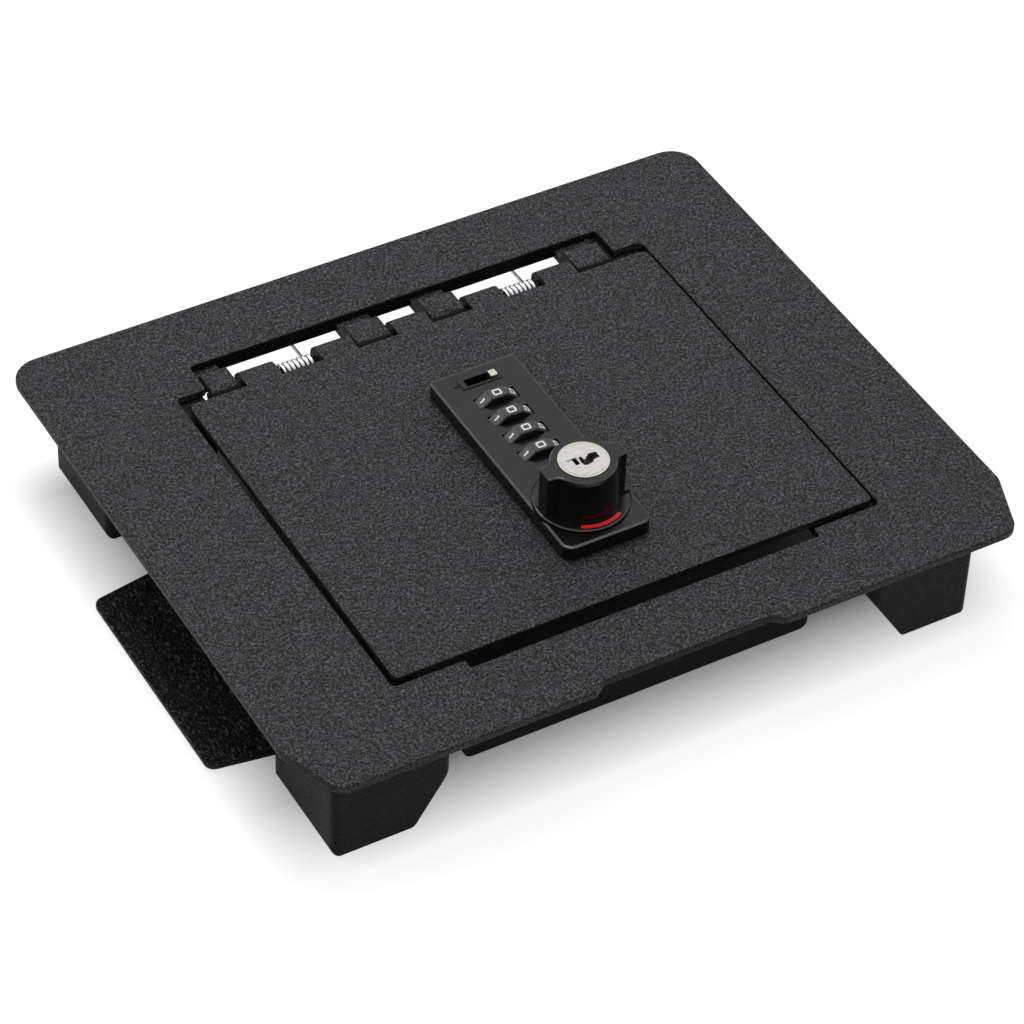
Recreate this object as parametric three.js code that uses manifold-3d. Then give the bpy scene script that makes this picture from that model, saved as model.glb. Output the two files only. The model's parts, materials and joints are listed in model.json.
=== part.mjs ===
// A drop-in console safe: a steel plate on four feet, with a hinged door that carries a
// four-dial combination lock and a turning knob with a key cylinder.
// Millimetres, +Z up. X runs along the hinge, and the door opens away from the front, which is -Y.
// Everything is laid out round the middle of the plate with the floor at z = 0. The last lines
// move the whole safe so that the middle of its outline lies on the origin.
import * as THREE from 'three';
import { mergeVertices } from 'three/addons/utils/BufferGeometryUtils.js';
import Module from 'manifold-3d';

const wasm = await Module();
wasm.setup();

// Plate, and the sheet steel that the plate, door and hinge are cut from
const plateWidth = 296.5;
const plateDepth = 250;
const plateTop = 47;
const sheet = 3.2;
const edgeRound = 0.5;
const rearCornerRadius = 11.5;
const frontChamferX = 9.9;
const frontChamferY = 26;
const frontCornerRadius = 7;
const sideCornerRadius = 9;
const consoleNotchWidth = 68;
const consoleNotchDepth = 3.6;
const consoleNotchShift = 0.95;
const consoleNotchSlope = 1.4;

// Door opening in the plate
const openingWidth = 201;
const openingDepth = 169.5;
const openingShiftX = 1;
const openingFrontInset = 35;
const openingCornerRadius = 2;
const strikeNotchInset = 28.55;
const strikeNotchDepth = 4.2;
const hingeSlotInset = 12.4;
const hingeSlotDepth = 14.3;

// Door
const doorGap = 1.7;
const doorRaise = 1.5;
const doorCornerRadius = 2.6;
const doorRearToAxis = 5.9;

// Hinge: five tabs of the door and four knuckles of the fixed leaf share one pin
const pinDiameter = 4;
const pinClearance = 0.3;
const axisInset = 0.7;
const tabCount = 5;
const tabFirst = 26.2;
const tabLast = 31.92;
const tabWidth = 14.6;
const knuckleGapLeft = 1.2;
const knuckleGapRight = 2.47;
const knuckleAfter = [-1, 1, 2, 4];
const springAfter = [0, 3];
const leafDepth = 26;
const knuckleEnd = 220;
const riserClearance = 0.3;

// Torsion springs
const springWire = 1.5;
const springPitch = 1.95;
const springRadius = 3.05;
const doorLegLength = 24;
const frameLegLength = 19;
const springEndGap = 0.9;

// Feet
const footDepth = 46;
const footLeafGap = 2;
const footSpread = 14.5;
const footSpreadHeight = 23;
const footBottomRadius = 3;
const footEdgeRadius = 3;
const leftFootInset = 13.3;
const rightFootInset = 18.4;
const frontFootInset = 11.6;
const rearFootInset = 11.3;

// Hook bracket on the left side, which reaches under the console's rim
const bracketSheet = 2.5;
const bracketDepth = 100;
const bracketFrontInset = 68;
const bracketReach = 6.9;
const bracketHookWidth = 30;
const bracketFloorGap = 1;
const bracketFlangeWidth = 18;
const bracketCornerRadius = 4;
const bracketSkew = 5;
const bracketFrontSkew = 4.8;

// Strike flange, which hangs behind the front edge and takes the cam
const strikeSheet = 2.5;
const strikeDrop = 38.8;
const strikeSetback = 0.4;
const strikeShift = -3.2;
const strikeCornerRadius = 3.5;
const strikeSlotGap = 1.5;

// Lock on the door
const lockFlange = 5.1;
const lockLength = 102.4;
const lockHeight = 6.9;
const lockShiftX = 0.5;
const lockFrontInset = 22.1;
const lockFrontRadius = 4;
const lockRearRadius = 1.6;
const lockEdgeRound = 0.7;
const lockFaceWall = 2;
const bodyEndInset = 2.4;
const bodyDrop = 16.3;
const bodyWall = 1.5;

// Dials
const dialCount = 4;
const dialPitch = 10.88;
const dialFirstInset = 19.4;
const dialRadius = 11;
const dialWidth = 5.5;
const dialRise = 3;
const dialWallGap = 0.5;
const dialFacets = 10;
const dialHubRadius = 3.3;
const dialSpindleDiameter = 4;
const dialSideGap = 0.35;
const bearingWall = 1.8;
const combThickness = 0.5;
const combSpine = 2.4;
const combTongueHalf = 1.6;
const combTongueReach = 4;
const fenceThickness = 1.2;
const fenceInset = 2.2;

// Code-change slider
const sliderInset = 7.25;
const sliderTravel = 9;
const sliderPegWidth = 2.8;
const sliderPegLength = 3.3;
const sliderPegRise = 1.6;
const sliderRestShift = 4.8;
const sliderFrameShift = -0.5;
const sliderFrameWidth = 16.5;
const sliderFrameLength = 5.7;
const sliderFrameRise = 0.35;
const sliderStemLength = 5;
const sliderCarriageWidth = 8;
const sliderCarriageThickness = 1.4;
const sliderSlotEnd = 0.9;
const sliderCarriageFront = 0.4;
const tickLength = 2.2;
const tickWidth = 0.6;
const tickDepth = 0.5;

// Knob and key cylinder
const knobInset = 20.8;
const knobHeight = 19.1;
const knobTopRadius = 12.6;
const knobBaseRadius = 13.5;
const knobWellOverhang = 0.3;
const knobSkirtHeight = 1.1;
const knobWingReach = 16.4;
const knobWingHalf = 3.7;
const knobWingFillet = 4;
const knobPadHalf = 5.3;
const knobPadHeight = 0.9;
const knobFloor = 3;
const knobTopRound = 0.9;
const knobGroove = 0.6;
const knobWell = 0.9;
const cylinderRadius = 9.5;
const cylinderWall = 0.7;
const cylinderDepth = 13;
const coreRise = 0.3;
const cylinderFloor = 1.2;
const sleeveRise = 0.2;
const keywayDepth = 9;
const waferDepth = 0.5;
const indicatorInner = 15;
const indicatorOuter = 16.6;
const indicatorHalfAngle = 31;
const indicatorThickness = 0.4;
const indicatorProud = 0.05;

// Drive spindle, cam and nut under the lock
const spindleRadius = 5;
const spindleSquare = 7;
const spindleThreadRadius = 2.9;
const spindleThreadLength = 8;
const spindleBearingWall = 2.5;
const spindleBearingLift = 3;
const coverThickness = 1.6;
const camThickness = 3;
const camWidth = 16;
const camPastStrike = 4;
const camScrewGap = 0.6;
const nutFlats = 10;
const nutThickness = 5;
const washerRadius = 6.5;
const washerThickness = 1;
const clampThickness = 2;
const clampMargin = 5.2;

// Screws
const screwRadius = 1.25;
const screwHeadRadius = 2.3;
const screwHeadHeight = 1.6;
const lockScrewBite = 4;
const coverScrewBite = 6;
const lockScrewFront = 38;
const lockScrewRear = 9;
const coverScrewInset = 3.5;
const coverBossRadius = 2.9;
const coverBossHeight = 8;

// Clearances
const seam = 0.3;
const turnGap = 0.3;

// Places that follow from the sizes
const curlInner = pinDiameter / 2 + pinClearance;
const curlOuter = curlInner + sheet;
const plateBottom = plateTop - sheet;
const strikeNotchWidth = openingWidth - 2 * strikeNotchInset;
const hingeSlotWidth = openingWidth - 2 * hingeSlotInset;
const openLeft = openingShiftX - openingWidth / 2;
const openRight = openingShiftX + openingWidth / 2;
const openFront = -plateDepth / 2 + openingFrontInset;
const openRear = openFront + openingDepth;
const slotRear = openRear + hingeSlotDepth;
const doorTop = plateTop + doorRaise;
const doorBottom = doorTop - sheet;
const axisY = openRear - axisInset;
const axisZ = doorTop - curlOuter;
const doorFront = openFront + doorGap;
const slotLeft = openingShiftX - hingeSlotWidth / 2;
const tabPitch = (openingWidth - tabFirst - tabLast - tabWidth) / (tabCount - 1);
const tabSpace = tabPitch - tabWidth;
const knuckleWidth = tabSpace - knuckleGapLeft - knuckleGapRight;
const springCurls = Math.floor((tabSpace - 2 * springEndGap - springWire) / springPitch);
const knuckleSpans = knuckleAfter.map((i) => {
  const wanted = openLeft + tabFirst + i * tabPitch + tabWidth + knuckleGapLeft;
  return [Math.max(wanted, slotLeft + 2 * seam), wanted + knuckleWidth];
});
const leafLeft = knuckleSpans[0][0];
const leafRight = knuckleSpans[knuckleSpans.length - 1][1];
const doorRear = axisY - doorRearToAxis;
const lockX = openingShiftX + lockShiftX;
const bodyWidth = 2 * (dialRadius + dialWallGap + bodyWall);
const lockWidth = bodyWidth + 2 * lockFlange;
const knobSkirtRadius = lockWidth / 2 + knobWellOverhang - knobGroove;
const lockFront = doorFront + lockFrontInset;
const lockRear = lockFront + lockLength;
const lockTop = doorTop + lockHeight;
const faceBottom = lockTop - lockFaceWall;
const bodyFront = lockFront + bodyEndInset;
const bodyRear = lockRear - bodyEndInset;
const bodyBottom = doorBottom - bodyDrop;
const dialY = Array.from({ length: dialCount }, (_, i) => lockRear - dialFirstInset - i * dialPitch);
const dialZ = lockTop + dialRise - dialRadius * Math.cos(Math.PI / dialFacets);
const combBottom = dialZ - dialRadius - turnGap - combThickness;
const knobY = lockFront + knobInset;
const knobTop = lockTop + knobHeight;
const coverBottom = bodyBottom - seam - coverThickness;
const camTop = coverBottom - seam - screwHeadHeight - camScrewGap;
const camBottom = camTop - camThickness;
const strikeRear = openFront - strikeNotchDepth - strikeSetback;
const strikeFront = strikeRear - strikeSheet;
const camReach = knobY - strikeFront + camPastStrike;
const sliderY = lockRear - sliderInset;
const sliderRestX = lockX + sliderRestShift;
const sliderFrameLeft = lockX + sliderFrameShift - sliderFrameWidth / 2;

// Solids

// A closed solid of a geometry: shared corners are merged and flat slivers are dropped.
function solid(geometry) {
  const bare = geometry.clone();
  for (const name of ['normal', 'uv']) bare.deleteAttribute(name);
  const merged = mergeVertices(bare, 1e-4);
  const index = merged.index.array;
  const kept = [];
  for (let i = 0; i < index.length; i += 3) {
    const [a, b, c] = [index[i], index[i + 1], index[i + 2]];
    if (a !== b && b !== c && c !== a) kept.push(a, b, c);
  }
  const mesh = new wasm.Mesh({
    numProp: 3,
    vertProperties: new Float32Array(merged.attributes.position.array),
    triVerts: new Uint32Array(kept),
  });
  return new wasm.Manifold(mesh);
}

const join = (first, ...rest) => rest.reduce((whole, piece) => whole.add(piece), first);
const cut = (first, ...tools) => tools.reduce((whole, tool) => whole.subtract(tool), first);

function geometryOf(body) {
  const mesh = body.getMesh();
  const points = new Float32Array((mesh.vertProperties.length / mesh.numProp) * 3);
  for (let i = 0; i < points.length / 3; i++) {
    for (let k = 0; k < 3; k++) points[3 * i + k] = mesh.vertProperties[mesh.numProp * i + k];
  }
  const geometry = new THREE.BufferGeometry();
  geometry.setAttribute('position', new THREE.BufferAttribute(points, 3));
  geometry.setIndex(new THREE.BufferAttribute(new Uint32Array(mesh.triVerts), 1));
  geometry.computeVertexNormals();
  return geometry;
}

function box(x0, x1, y0, y1, z0, z1) {
  const geometry = new THREE.BoxGeometry(x1 - x0, y1 - y0, z1 - z0);
  return solid(geometry.translate((x0 + x1) / 2, (y0 + y1) / 2, (z0 + z1) / 2));
}

// An outline through corners [x, y, radius], rounded where the radius is more than zero.
function outline(corners, Kind = THREE.Shape) {
  const path = new Kind();
  const count = corners.length;
  corners.forEach(([x, y, radius = 0], i) => {
    const here = new THREE.Vector2(x, y);
    const [px, py] = corners[(i + count - 1) % count];
    const [nx, ny] = corners[(i + 1) % count];
    const back = new THREE.Vector2(px, py).sub(here).normalize();
    const ahead = new THREE.Vector2(nx, ny).sub(here).normalize();
    const half = Math.acos(THREE.MathUtils.clamp(back.dot(ahead), -1, 1)) / 2;
    const move = (point) => (i === 0 ? path.moveTo(point.x, point.y) : path.lineTo(point.x, point.y));
    if (radius <= 0) {
      move(here);
      return;
    }
    const reach = radius / Math.tan(half);
    const from = here.clone().addScaledVector(back, reach);
    const to = here.clone().addScaledVector(ahead, reach);
    const middle = here.clone().addScaledVector(back.clone().add(ahead).normalize(), radius / Math.sin(half));
    const clockwise = back.cross(ahead) > 0;
    move(from);
    path.absarc(middle.x, middle.y, radius, Math.atan2(from.y - middle.y, from.x - middle.x),
      Math.atan2(to.y - middle.y, to.x - middle.x), clockwise);
  });
  path.closePath();
  return path;
}

const rectangle = (x0, x1, y0, y1, radius = 0) => [
  [x0, y0, radius], [x1, y0, radius], [x1, y1, radius], [x0, y1, radius]];

// A flat piece between two heights, with its edges rounded by round where that is given.
function slab(shape, z0, z1, round = 0, arcSteps = 4) {
  const geometry = new THREE.ExtrudeGeometry(shape, {
    depth: z1 - z0 - 2 * round,
    bevelEnabled: round > 0,
    bevelThickness: round,
    bevelSize: round,
    bevelOffset: -round,
    bevelSegments: 2,
    curveSegments: arcSteps,
  });
  return solid(geometry.translate(0, 0, z0 + round));
}

// A side view in Y and Z, drawn out along X.
function alongX(shape, x0, x1, arcSteps = 6) {
  const geometry = new THREE.ExtrudeGeometry(shape, { depth: x1 - x0, bevelEnabled: false,
    curveSegments: arcSteps });
  const turn = new THREE.Matrix4().makeBasis(
    new THREE.Vector3(0, 1, 0), new THREE.Vector3(0, 0, 1), new THREE.Vector3(1, 0, 0));
  return solid(geometry.applyMatrix4(turn).translate(x0, 0, 0));
}

// A front view in X and Z, drawn out along Y.
function alongY(shape, y0, y1, round = 0, arcSteps = 6) {
  const geometry = new THREE.ExtrudeGeometry(shape, {
    depth: y1 - y0 - 2 * round,
    bevelEnabled: round > 0,
    bevelThickness: round,
    bevelSize: round,
    bevelOffset: -round,
    bevelSegments: 1,
    curveSegments: arcSteps,
  });
  return solid(geometry.rotateX(Math.PI / 2).translate(0, y1 - round, 0));
}

// A turned piece about an upright axis, from profile points [radius, height].
function turned(profile, x, y, sides = 32) {
  const points = profile.map(([r, z]) => new THREE.Vector2(r, z));
  return solid(new THREE.LatheGeometry(points, sides).rotateX(Math.PI / 2).translate(x, y, 0));
}

const disc = (radius, x, y, z0, z1, sides = 32) => turned(
  [[0, z0], [radius, z0], [radius, z1], [0, z1]], x, y, sides);

const rodAlong = (axis, radius, from, to, u, v, sides = 16) => {
  const rod = new THREE.CylinderGeometry(radius, radius, to - from, sides);
  if (axis === 'x') rod.rotateZ(-Math.PI / 2).translate((from + to) / 2, u, v);
  if (axis === 'y') rod.translate(u, (from + to) / 2, v);
  return solid(rod);
};

// Finishes
const coatedSteel = () => new THREE.MeshStandardMaterial({ color: 0x3f4144, roughness: 0.8, metalness: 0.2 });
const darkCoat = () => new THREE.MeshStandardMaterial({ color: 0x2a2b2d, roughness: 0.85, metalness: 0.1 });
const lockPlastic = () => new THREE.MeshStandardMaterial({ color: 0x2e2f32, roughness: 0.5, metalness: 0 });
const brightSteel = () => new THREE.MeshStandardMaterial({ color: 0xc9cacb, roughness: 0.3, metalness: 1 });
const nickel = () => new THREE.MeshStandardMaterial({ color: 0xdcd9d2, roughness: 0.3, metalness: 0.9 });
const redMark = () => new THREE.MeshStandardMaterial({ color: 0xc81419, roughness: 0.5, metalness: 0 });

const safe = new THREE.Group();

function piece(name, body, material) {
  const mesh = new THREE.Mesh(geometryOf(body), material);
  mesh.name = name;
  safe.add(mesh);
}

// Top plate: chamfered front corners, a shallow notch in the front edge, and one opening for
// the door, its strike notch and its hinge slot.
function topPlate() {
  const [left, right] = [-plateWidth / 2, plateWidth / 2];
  const [front, rear] = [-plateDepth / 2, plateDepth / 2];
  const notchLeft = consoleNotchShift - consoleNotchWidth / 2;
  const notchRight = consoleNotchShift + consoleNotchWidth / 2;
  const shoulder = consoleNotchDepth * consoleNotchSlope;
  const shape = outline([
    [notchLeft - shoulder, front, 2], [notchLeft, front + consoleNotchDepth, 2],
    [notchRight, front + consoleNotchDepth, 2], [notchRight + shoulder, front, 2],
    [right - frontChamferX, front, frontCornerRadius], [right, front + frontChamferY, sideCornerRadius],
    [right, rear, rearCornerRadius], [left, rear, rearCornerRadius],
    [left, front + frontChamferY, sideCornerRadius], [left + frontChamferX, front, frontCornerRadius]]);
  const notch = strikeNotchWidth / 2;
  const slot = hingeSlotWidth / 2;
  const middle = openingShiftX;
  shape.holes.push(outline([
    [openLeft, openFront, openingCornerRadius], [middle - notch, openFront, 1],
    [middle - notch, openFront - strikeNotchDepth, 1], [middle + notch, openFront - strikeNotchDepth, 1],
    [middle + notch, openFront, 1], [openRight, openFront, openingCornerRadius],
    [openRight, openRear, openingCornerRadius], [middle + slot, openRear, 1],
    [middle + slot, slotRear, 1.5], [middle - slot, slotRear, 1.5],
    [middle - slot, openRear, 1], [openLeft, openRear, openingCornerRadius]], THREE.Path));
  piece('top_plate', slab(shape, plateBottom, plateTop, edgeRound), coatedSteel());
}

// Door panel: a flat sheet whose five rear tabs curl down behind the pin. It is cut through
// for the lock body and drilled for the lock's four screws.
function doorPanel() {
  const [left, right] = [openLeft + doorGap, openRight - doorGap];
  const sheetPart = slab(outline([
    [left, doorFront, doorCornerRadius], [right, doorFront, doorCornerRadius],
    [right, doorRear, doorCornerRadius], [left, doorRear, doorCornerRadius]]), doorBottom, doorTop,
      edgeRound);
  const tabs = [];
  for (let i = 0; i < tabCount; i++) {
    const from = openLeft + tabFirst + i * tabPitch;
    tabs.push(alongX(curl(doorRear - 1, -180), from, from + tabWidth));
  }
  const cutout = slab(outline(rectangle(lockX - bodyWidth / 2 - seam, lockX + bodyWidth / 2 + seam,
    bodyFront - seam, bodyRear + seam, 1)), doorBottom - 1, doorTop + 1);
  const holes = screwPlaces().map(([x, y]) => disc(screwRadius + seam, x, y, doorBottom - 1, doorTop + 1,
    12));
  piece('door_panel', cut(join(sheetPart, ...tabs), cutout, ...holes), coatedSteel());
}

// Side view of a sheet that runs back at door level from startY and curls over the pin,
// ending at endAngle degrees.
function curl(startY, endAngle) {
  const end = THREE.MathUtils.degToRad(endAngle);
  const shape = new THREE.Shape();
  shape.moveTo(startY, axisZ + curlInner);
  shape.lineTo(startY, axisZ + curlOuter);
  shape.lineTo(axisY, axisZ + curlOuter);
  shape.absarc(axisY, axisZ, curlOuter, Math.PI / 2, end, true);
  shape.lineTo(axisY + curlInner * Math.cos(end), axisZ + curlInner * Math.sin(end));
  shape.absarc(axisY, axisZ, curlInner, end, Math.PI / 2, false);
  shape.closePath();
  return shape;
}

// Hinge leaf: a strip under the plate whose knuckles rise through the slot, turn forward at
// door level and curl down in front of the pin.
function hingeLeaf() {
  const riserFront = axisY + curlOuter + riserClearance;
  const riserRear = riserFront + sheet;
  const leafTop = plateBottom - seam;
  const leafBottom = leafTop - sheet;
  const spans = knuckleSpans;
  const end = THREE.MathUtils.degToRad(knuckleEnd);
  const strip = box(leafLeft, leafRight, riserFront, riserFront + leafDepth, leafBottom, leafTop);
  const side = new THREE.Shape();
  side.moveTo(riserRear, leafBottom + 0.5);
  side.lineTo(riserRear, doorTop - sheet);
  side.absarc(riserRear - sheet, doorTop - sheet, sheet, 0, Math.PI / 2, false);
  side.lineTo(axisY, axisZ + curlOuter);
  side.absarc(axisY, axisZ, curlOuter, Math.PI / 2, end, false);
  side.lineTo(axisY + curlInner * Math.cos(end), axisZ + curlInner * Math.sin(end));
  side.absarc(axisY, axisZ, curlInner, end, Math.PI / 2, true);
  side.lineTo(riserFront, axisZ + curlInner);
  side.lineTo(riserFront, leafBottom + 0.5);
  side.closePath();
  const knuckles = spans.map(([from, to]) => alongX(side, from, to));
  // Between knuckles the strip is cut back to the rear of the slot, so that the tabs and springs
  // have room to turn.
  const relief = spans.slice(1).map(([from], i) => box(spans[i][1], from, riserFront - 1, slotRear + seam,
    leafBottom - 1, leafTop + 1));
  piece('hinge_leaf', cut(join(strip, ...knuckles), ...relief), coatedSteel());
  piece('hinge_pin', rodAlong('x', pinDiameter / 2, leafLeft, leafRight, axisY, axisZ), darkCoat());
}

// The angle at which a straight leg that ends at (y, z) leaves the spring's circle.
function tangentAngle(y, z, side) {
  const [dy, dz] = [y - axisY, z - axisZ];
  return Math.atan2(dz, dy) + side * Math.acos(springRadius / Math.hypot(dy, dz));
}

// Centre line of one torsion spring: a leg under the door, the curls round the pin, and a leg
// that runs back under the leaf.
function springPath(startX) {
  const doorTip = [axisY - doorLegLength, doorBottom - seam - springWire / 2];
  const frameTip = [axisY + frameLegLength, plateBottom - sheet - 2 * seam - springWire / 2];
  const first = tangentAngle(...doorTip, 1);
  const last = tangentAngle(...frameTip, -1) + 2 * Math.PI * (springCurls + (first > 0 ? 1 : 0));
  const steps = Math.round(((last - first) / (2 * Math.PI)) * 8);
  const points = [new THREE.Vector3(startX, ...doorTip)];
  for (let i = 0; i <= steps; i++) {
    const angle = first + ((last - first) * i) / steps;
    const x = startX + (springPitch * (angle - first)) / (2 * Math.PI);
    points.push(new THREE.Vector3(x, axisY + springRadius * Math.cos(angle),
      axisZ + springRadius * Math.sin(angle)));
  }
  points.push(new THREE.Vector3(points[points.length - 1].x, ...frameTip));
  return points;
}

// One unbroken five-sided tube through a list of points.
function wire(points, radius) {
  const sides = 5;
  const position = [];
  const index = [];
  const tangents = points.map((_, i) => new THREE.Vector3().subVectors(
    points[Math.min(i + 1, points.length - 1)], points[Math.max(i - 1, 0)]).normalize());
  points.forEach((point, i) => {
    const sideways = new THREE.Vector3(1, 0, 0).addScaledVector(tangents[i], -tangents[i].x).normalize();
    const up = new THREE.Vector3().crossVectors(tangents[i], sideways);
    for (let k = 0; k < sides; k++) {
      const angle = (2 * Math.PI * k) / sides;
      position.push(...point.clone().addScaledVector(sideways, radius * Math.cos(angle))
        .addScaledVector(up, radius * Math.sin(angle)).toArray());
    }
  });
  for (let i = 0; i < points.length - 1; i++) {
    for (let k = 0; k < sides; k++) {
      const [a, b] = [i * sides + k, i * sides + ((k + 1) % sides)];
      index.push(a, b, b + sides, a, b + sides, a + sides);
    }
  }
  const last = (points.length - 1) * sides;
  for (let k = 1; k < sides - 1; k++) index.push(0, k + 1, k, last, last + k, last + k + 1);
  const geometry = new THREE.BufferGeometry();
  geometry.setAttribute('position', new THREE.Float32BufferAttribute(position, 3));
  geometry.setIndex(index);
  return solid(geometry);
}

// Least gap between curls, measured on the points of the centre line.
function leastGap(points, diameter) {
  let least = Infinity;
  for (let i = 0; i < points.length; i++) {
    for (let j = i + 5; j < points.length; j++) {
      least = Math.min(least, points[i].distanceTo(points[j]) - diameter);
    }
  }
  return least;
}

function springs() {
  ['torsion_spring_left', 'torsion_spring_right'].forEach((name, k) => {
    const startX = openLeft + tabFirst + springAfter[k] * tabPitch + tabWidth + springEndGap + springWire / 2;
    const points = springPath(startX);
    console.log(`${name}: least gap to itself ${leastGap(points, springWire).toFixed(2)} mm`);
    piece(name, wire(points, springWire / 2), brightSteel());
  });
}

// Feet: blocks with upright outer faces and inner faces that spread towards the plate. They
// reach from just inside the plate's edge to the sides of the hinge leaf.
function feet() {
  for (const [side, sideX, insetX, leafEdge] of [['left', -1, leftFootInset, -leafLeft],
    ['right', 1, rightFootInset, leafRight]]) {
    for (const [end, sideY, insetY] of [['front', -1, frontFootInset], ['rear', 1, rearFootInset]]) {
      const corner = { sideX, sideY, outer: plateWidth / 2 - insetX, far: plateDepth / 2 - insetY };
      piece(`foot_${end}_${side}`, foot(corner, leafEdge + footLeafGap), darkCoat());
    }
  }
}

function foot({ sideX, sideY, outer, far }, innerTop) {
  const top = plateBottom - seam;
  const innerFoot = innerTop + footSpread;
  const front = outline([
    [sideX * innerFoot, 0, footBottomRadius], [sideX * outer, 0, footBottomRadius],
    [sideX * outer, top], [sideX * innerTop, top], [sideX * innerTop, footSpreadHeight, footBottomRadius]]);
  const plan = outline([
    [sideX * innerTop, sideY * (far - footDepth), 1],
    [sideX * outer, sideY * (far - footDepth), footEdgeRadius], [sideX * outer, sideY * far, footEdgeRadius],
    [sideX * innerTop, sideY * far, footEdgeRadius]]);
  const ends = [sideY * far, sideY * (far - footDepth)];
  return alongY(front, Math.min(...ends), Math.max(...ends)).intersect(slab(plan, -1, top + 1));
}

// Hook bracket: a flange under the plate, a web down to the floor, and a tab turned outward.
function hookBracket() {
  const top = plateBottom - seam;
  const tabRight = -plateWidth / 2 - bracketReach + bracketHookWidth;
  const tabLeft = -plateWidth / 2 - bracketReach;
  const y0 = -plateDepth / 2 + bracketFrontInset;
  const y1 = y0 + bracketDepth;
  const low = bracketFloorGap;
  const web = tabRight - bracketSheet;
  const tab = slab(outline([
    [tabLeft, y0, bracketCornerRadius], [tabRight, y0 - bracketFrontSkew],
    [tabRight, y1], [tabLeft, y1 - bracketSkew, bracketCornerRadius]]),
  low, low + bracketSheet, edgeRound);
  const upright = box(web, tabRight, y0, y1 - 1, low + 0.5, top);
  const flange = box(web, web + bracketFlangeWidth, y0, y1 - 1, top - bracketSheet, top);
  piece('side_hook_bracket', join(tab, upright, flange), darkCoat());
}

// Strike flange: it hangs from the plate in front of the opening, slotted for the cam's sweep.
function strikeFlange() {
  const middle = openingShiftX + strikeShift;
  const half = strikeNotchWidth / 2;
  const top = plateBottom - seam;
  const bottom = top - strikeDrop;
  const plate = alongY(outline([
    [middle - half, bottom, strikeCornerRadius], [middle + half, bottom, strikeCornerRadius],
    [middle + half, top], [middle - half, top]]), strikeFront, strikeRear, 0.3);
  const near = knobY - strikeRear;
  const sweep = Math.sqrt(Math.hypot(camReach, camWidth / 2) ** 2 - near ** 2) + 2 * turnGap;
  const slot = box(lockX - camWidth / 2 - 2 * turnGap, lockX + sweep, strikeFront - 1, strikeRear + 1,
    camBottom - strikeSlotGap, camTop + strikeSlotGap);
  piece('strike_flange', cut(plate, slot), darkCoat());
}

// Places of the four screws that hold the lock to the door, outside the lock body.
function screwPlaces() {
  const x = (lockWidth / 2 + bodyWidth / 2) / 2;
  return [-1, 1].flatMap((side) => [[lockX + side * x, bodyFront + lockScrewFront],
    [lockX + side * x, bodyRear - lockScrewRear]]);
}

// Places of the four screws of the back cover, in the corners of the lock body.
function coverScrewPlaces() {
  const x = bodyWidth / 2 - coverScrewInset;
  return [-1, 1].flatMap((side) => [[lockX + side * x, bodyFront + coverScrewInset],
    [lockX + side * x, bodyRear - coverScrewInset]]);
}

// Lock housing: a raised face over a hollow body that passes through the door, with windows
// for the dials, a framed slot for the code-change peg, a well for the knob and a bearing below
// it. The well is a little wider than the face, so it nicks the face's long edges.
function lockHousing() {
  const half = lockWidth / 2;
  const face = slab(outline([
    [lockX - half, lockFront, lockFrontRadius], [lockX + half, lockFront, lockFrontRadius],
    [lockX + half, lockRear, lockRearRadius], [lockX - half, lockRear, lockRearRadius]]),
    doorTop + seam / 2, lockTop, lockEdgeRound);
  const body = slab(outline(rectangle(lockX - bodyWidth / 2, lockX + bodyWidth / 2, bodyFront, bodyRear, 1)),
    bodyBottom, faceBottom);
  const inner = bodyWidth / 2 - bodyWall;
  const hollow = box(lockX - inner, lockX + inner, bodyFront + bodyWall, bodyRear - bodyWall,
    bodyBottom - 1, faceBottom);
  const bearing = disc(spindleRadius + turnGap + spindleBearingWall, lockX, knobY,
    bodyBottom + spindleBearingLift, faceBottom + 0.5);
  const bosses = coverScrewPlaces().map(([x, y]) => disc(coverBossRadius, x, y,
    bodyBottom + seam, bodyBottom + coverBossHeight, 16));
  const walls = bearingWalls().map(([y0, y1]) => box(lockX - inner - 0.5, lockX + inner + 0.5, y0, y1,
    combBottom - seam, faceBottom + 0.5));
  const sliderFrame = slab(outline(rectangle(sliderFrameLeft, sliderFrameLeft + sliderFrameWidth,
    sliderY - sliderFrameLength / 2, sliderY + sliderFrameLength / 2)), faceBottom + 0.5,
    lockTop + sliderFrameRise);
  const shell = join(cut(join(face, body), hollow), sliderFrame, bearing, ...bosses, ...walls);
  const windows = dialY.map((y) => rodAlong('y', dialRadius + turnGap, y - dialWidth / 2 - dialSideGap,
    y + dialWidth / 2 + dialSideGap, lockX, dialZ, 36));
  const spindleBore = rodAlong('y', dialSpindleDiameter / 2 + turnGap, bearingWalls()[0][0] - 1,
    bearingWalls()[1][1] + 1, lockX, dialZ);
  const well = disc(knobSkirtRadius + knobGroove, lockX, knobY, lockTop - knobWell, lockTop + 1, 48);
  const shaftBore = disc(spindleRadius + turnGap, lockX, knobY, bodyBottom, lockTop + 1);
  const screwHoles = [
    ...screwPlaces().map(([x, y]) => disc(screwRadius + seam, x, y, doorTop - 1,
      doorTop + lockScrewBite + seam, 12)),
    ...coverScrewPlaces().map(([x, y]) => disc(screwRadius + seam, x, y, bodyBottom - 1,
      bodyBottom + coverScrewBite, 12))];
  piece('lock_housing', cut(shell, ...windows, spindleBore, well, shaftBore, ...sliderOpenings(),
    ...screwHoles), lockPlastic());
}

// The two cross walls that carry the dial spindle, as [front, rear].
function bearingWalls() {
  const rear = dialY[0] + dialWidth / 2 + 2 * dialSideGap;
  const front = dialY[dialCount - 1] - dialWidth / 2 - 2 * dialSideGap;
  return [[front - bearingWall, front], [rear, rear + bearingWall]];
}

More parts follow.
